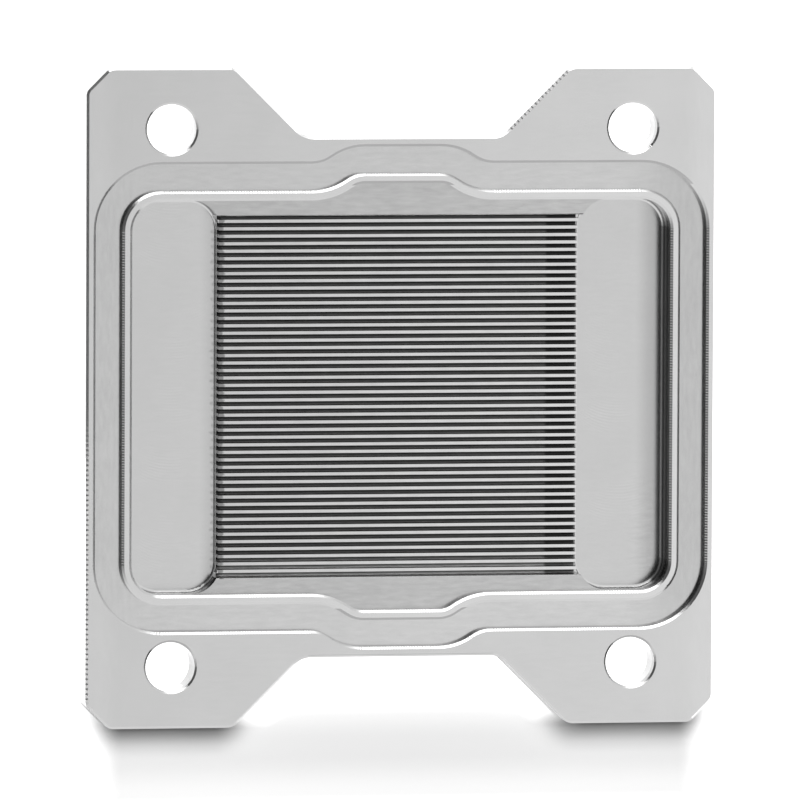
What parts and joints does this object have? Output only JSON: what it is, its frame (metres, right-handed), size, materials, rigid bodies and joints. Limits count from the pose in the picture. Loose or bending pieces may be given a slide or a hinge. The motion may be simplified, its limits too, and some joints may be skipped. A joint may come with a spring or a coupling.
{
  "type": "cpu water block cold plate",
  "caption": "Nickel-plated copper cold plate of a CPU water block: parallel micro fins between two slots, a rim, a seal groove with bulged long sides and screw ears.",
  "frame": {"origin": "middle of the flat contact face underneath", "axes": "+X along the fins, towards the slot on the right of the picture; +Y across the fins, towards the picture's upper edge; +Z out of the finned face"},
  "size_m": [0.0642, 0.0664, 0.005],
  "materials": {
    "nickel_plating": "satin nickel plating over machined copper"
  },
  "bodies": {
    "root": {"cold_plate": "nickel_plating"}
  },
  "joints": []
}
